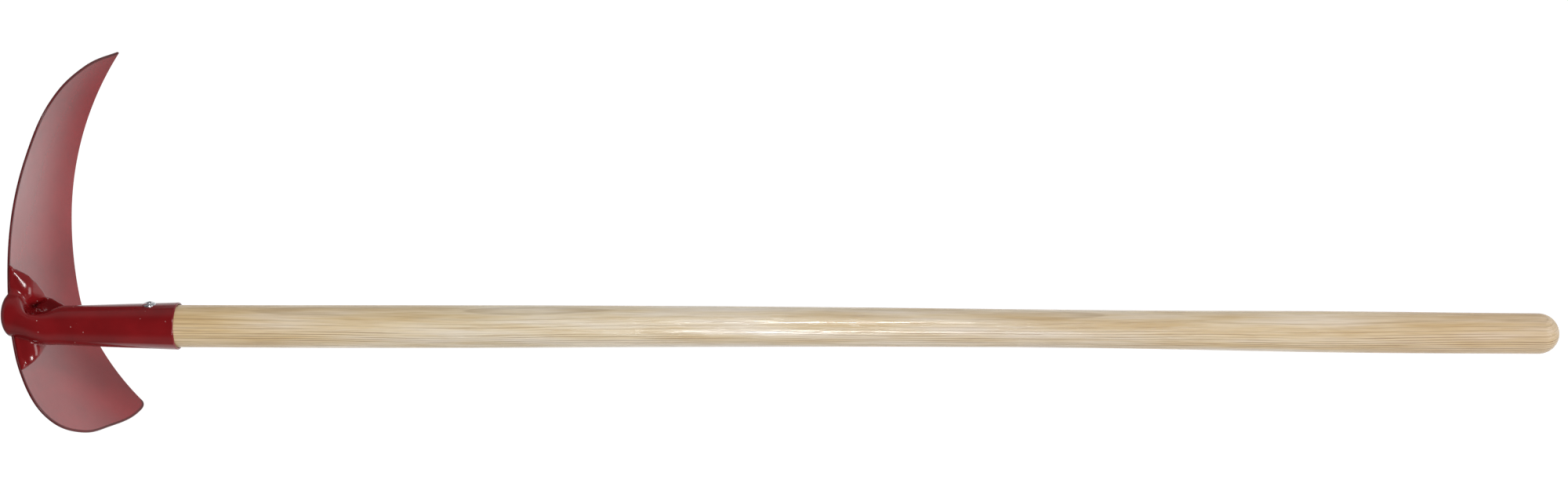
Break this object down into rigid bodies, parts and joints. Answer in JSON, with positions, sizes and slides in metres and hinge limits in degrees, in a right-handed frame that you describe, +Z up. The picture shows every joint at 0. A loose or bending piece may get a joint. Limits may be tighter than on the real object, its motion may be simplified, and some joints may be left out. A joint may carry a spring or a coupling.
{
  "type": "long-handled ridging hoe",
  "caption": "Long-handled one-sided ridging hoe: a curved, dished steel blade on a closed, off-centre socket, with a turned wooden handle held by a blind rivet.",
  "frame": {"origin": "centre of the tool's box on the ground, with the tool standing on its cutting edge and the underside of its butt", "axes": "+X along the handle from the blade to the butt, +Y from the short wing towards the long wing, +Z up"},
  "size_m": [1.2864, 0.3278, 0.1205],
  "materials": {
    "red_paint": "gloss",
    "lacquered_ash": "satin lacquer",
    "zinc_plated_steel": "zinc plated",
    "dull_steel": "dull"
  },
  "bodies": {
    "root": {"blade": "red_paint", "socket": "red_paint", "weld_seam": "red_paint", "handle": "lacquered_ash", "rivet_sleeve": "zinc_plated_steel", "rivet_mandrel": "dull_steel"}
  },
  "joints": []
}
